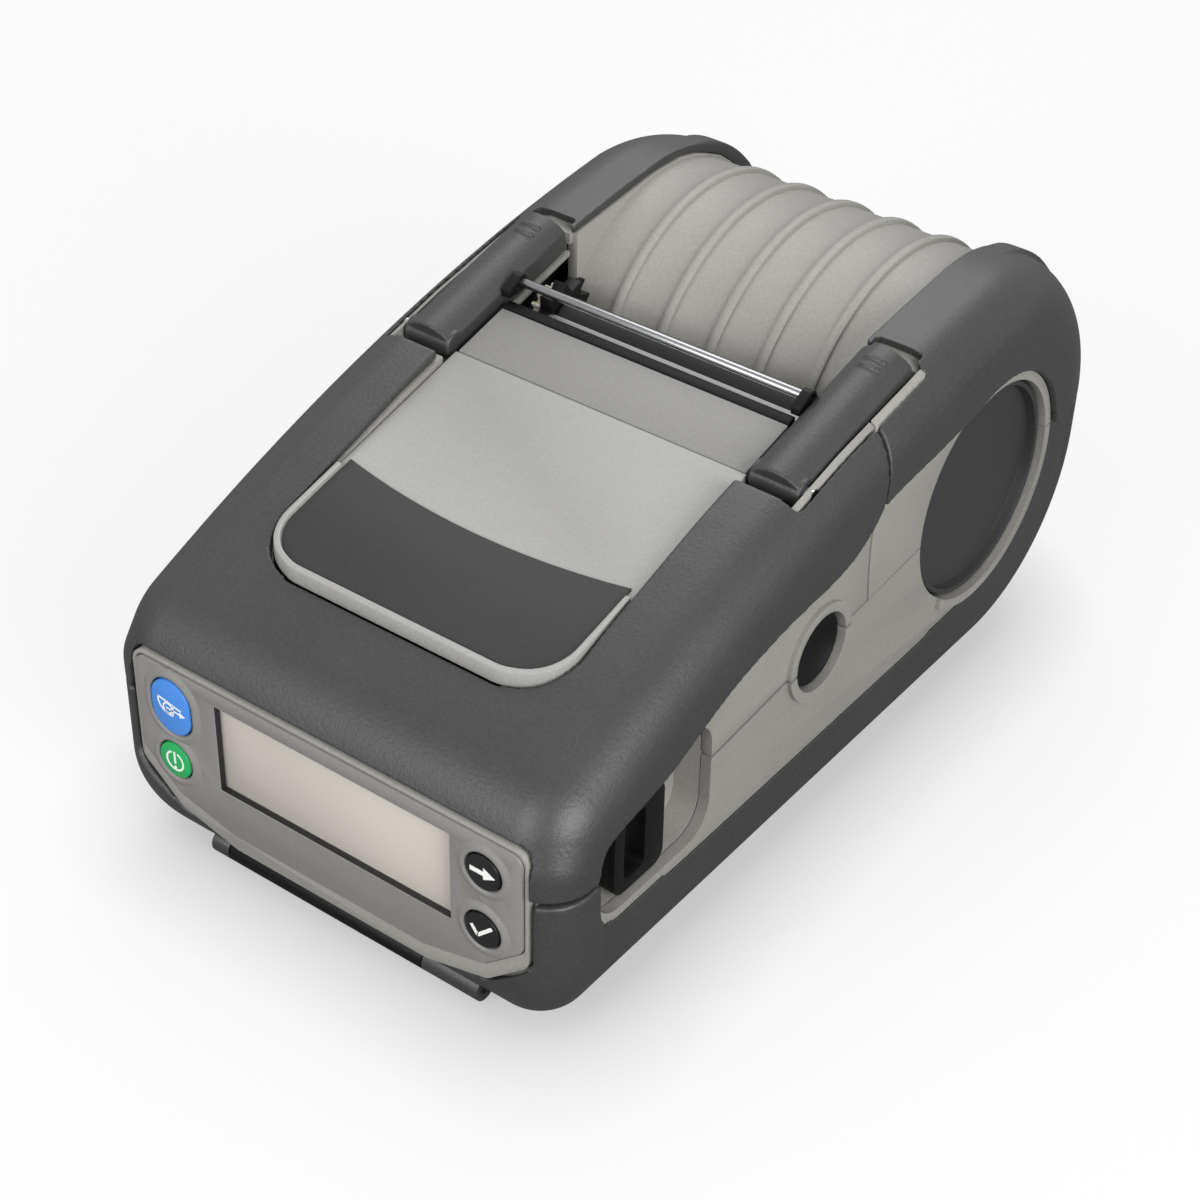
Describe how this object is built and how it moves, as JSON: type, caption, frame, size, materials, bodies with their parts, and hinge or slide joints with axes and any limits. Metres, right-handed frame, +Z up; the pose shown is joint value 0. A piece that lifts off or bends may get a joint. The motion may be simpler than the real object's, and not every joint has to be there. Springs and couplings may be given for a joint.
{
  "type": "portable label printer",
  "caption": "Portable label printer with a round hinged media cover, a peeler bail, a side release button, strap loops and a display panel with keys.",
  "frame": {"origin": "middle of the footprint, on the table", "axes": "+X to the right seen from the control panel, +Y from the control panel to the round rear, +Z up"},
  "size_m": [0.0914, 0.162, 0.0759],
  "materials": {
    "case_plastic": "fine texture, warm light grey",
    "cover_plastic": "fine texture, light grey",
    "plate_plastic": "smooth satin, light grey",
    "panel_plastic": "satin mid grey",
    "bumper_rubber": "matte charcoal",
    "badge_dark": "satin, left bare",
    "black_plastic": "matte black",
    "display_window": "pale display window",
    "display_dark": "display unit",
    "circuit_board": "green laminate",
    "steel": "bright",
    "rod_chrome": "polished",
    "bracket_aluminium": "satin",
    "head_ceramic": "glazed ceramic",
    "gear_nylon": "natural nylon",
    "pinion_brass": "satin",
    "roller_rubber": "matte black",
    "key_blue": "satin blue",
    "key_green": "satin green",
    "key_black": "satin black"
  },
  "bodies": {
    "case": {"base_case": "case_plastic", "top_case": "case_plastic", "front_bumper": "bumper_rubber", "base_bumper": "bumper_rubber", "top_plate": "plate_plastic", "head_cover": "plate_plastic", "badge_plate": "badge_dark", "tear_bar": "black_plastic", "control_panel": "panel_plastic", "panel_frame": "cover_plastic", "lcd_window": "display_window", "lcd_module": "display_dark", "keypad_mat": "roller_rubber", "main_board": "circuit_board", "print_chassis": "black_plastic", "print_head": "head_ceramic", "head_bracket": "bracket_aluminium", "head_springs": "steel", "stepper_motor": "steel", "idler_pin": "steel", "side_disc_right": "black_plastic", "side_disc_left": "black_plastic", "strap_pocket_right": "case_plastic", "strap_pocket_left": "case_plastic", "strap_eyelet_right": "black_plastic", "strap_eyelet_left": "black_plastic", "lever_pins": "steel", "hinge_pin": "steel", "case_screws": "steel", "latch_pin": "steel", "media_tub": "black_plastic", "guide_rod": "steel"},
    "cover": {"cover_shell": "cover_plastic", "cover_bumper_right": "bumper_rubber", "cover_bumper_left": "bumper_rubber", "platen_brackets": "black_plastic", "cover_catch": "black_plastic"},
    "platen": {"platen_roller": "roller_rubber", "platen_shaft": "steel", "platen_gear": "gear_nylon", "feed_wheel": "black_plastic"},
    "idler": {"idler_gear": "gear_nylon"},
    "pinion": {"motor_pinion": "pinion_brass"},
    "peeler_bail": {"lever_right": "bumper_rubber", "lever_left": "bumper_rubber", "peeler_rod": "rod_chrome", "bail_arms": "black_plastic"},
    "release_button": {"latch_button": "black_plastic"},
    "release_hook": {"latch_hook": "black_plastic"},
    "feed_key": {"feed_button": "key_blue"},
    "power_key": {"power_button": "key_green"},
    "arrow_key": {"arrow_button": "key_black"},
    "check_key": {"check_button": "key_black"},
    "guide_right": {"media_guide_right": "black_plastic"},
    "guide_left": {"media_guide_left": "black_plastic"},
    "battery": {"battery_pack": "black_plastic"},
    "battery_catch": {"battery_latch": "black_plastic"}
  },
  "joints": [
    {"name": "cover_hinge", "type": "hinge", "parent": "case", "child": "cover", "pos_m": [0, 0.0774, 0.048], "axis": [-1, 0, 0], "range_deg": [0, 95]},
    {"name": "platen_spin", "type": "hinge", "parent": "cover", "child": "platen", "pos_m": [0, 0.0103, 0.0618], "axis": [1, 0, 0], "continuous": true},
    {"name": "idler_spin", "type": "hinge", "parent": "case", "child": "idler", "pos_m": [0, 0.00788, 0.05005], "axis": [1, 0, 0], "continuous": true},
    {"name": "motor_spin", "type": "hinge", "parent": "case", "child": "pinion", "pos_m": [0, 0.00003, 0.0422], "axis": [1, 0, 0], "continuous": true},
    {"name": "bail_hinge", "type": "hinge", "parent": "case", "child": "peeler_bail", "pos_m": [0, -0.0112, 0.06456], "axis": [1, 0, 0], "range_deg": [0, 100]},
    {"name": "release_slide", "type": "slide", "parent": "case", "child": "release_button", "axis": [-1, 0, 0], "range_m": [0, 0.0022], "stiffness_N_per_m": 400},
    {"name": "hook_tilt", "type": "hinge", "parent": "case", "child": "release_hook", "pos_m": [0.0372, -0.0116, 0.012], "axis": [0, -1, 0], "range_deg": [0, 5.3]},
    {"name": "feed_press", "type": "slide", "parent": "case", "child": "feed_key", "axis": [0, 1, 0], "range_m": [0, 0.0008], "stiffness_N_per_m": 600},
    {"name": "power_press", "type": "slide", "parent": "case", "child": "power_key", "axis": [0, 1, 0], "range_m": [0, 0.0008], "stiffness_N_per_m": 600},
    {"name": "arrow_press", "type": "slide", "parent": "case", "child": "arrow_key", "axis": [0, 1, 0], "range_m": [0, 0.0008], "stiffness_N_per_m": 600},
    {"name": "check_press", "type": "slide", "parent": "case", "child": "check_key", "axis": [0, 1, 0], "range_m": [0, 0.0008], "stiffness_N_per_m": 600},
    {"name": "guide_right_slide", "type": "slide", "parent": "case", "child": "guide_right", "axis": [-1, 0, 0], "range_m": [0, 0.014]},
    {"name": "guide_left_slide", "type": "slide", "parent": "case", "child": "guide_left", "axis": [1, 0, 0], "range_m": [0, 0.014]},
    {"name": "battery_hinge", "type": "hinge", "parent": "case", "child": "battery", "pos_m": [0, -0.0758, 0.0023], "axis": [-1, 0, 0], "range_deg": [0, 60]},
    {"name": "battery_catch_slide", "type": "slide", "parent": "case", "child": "battery_catch", "axis": [0, 1, 0], "range_m": [0, 0.002], "stiffness_N_per_m": 300}
  ],
  "couplings": [
    {"joint": "idler_spin", "follows": "platen_spin", "ratio": -0.6},
    {"joint": "motor_spin", "follows": "platen_spin", "ratio": 1.25},
    {"joint": "hook_tilt", "follows": "release_slide", "rad_per_m": 40.816},
    {"joint": "guide_left_slide", "follows": "guide_right_slide", "ratio": 1}
  ]
}
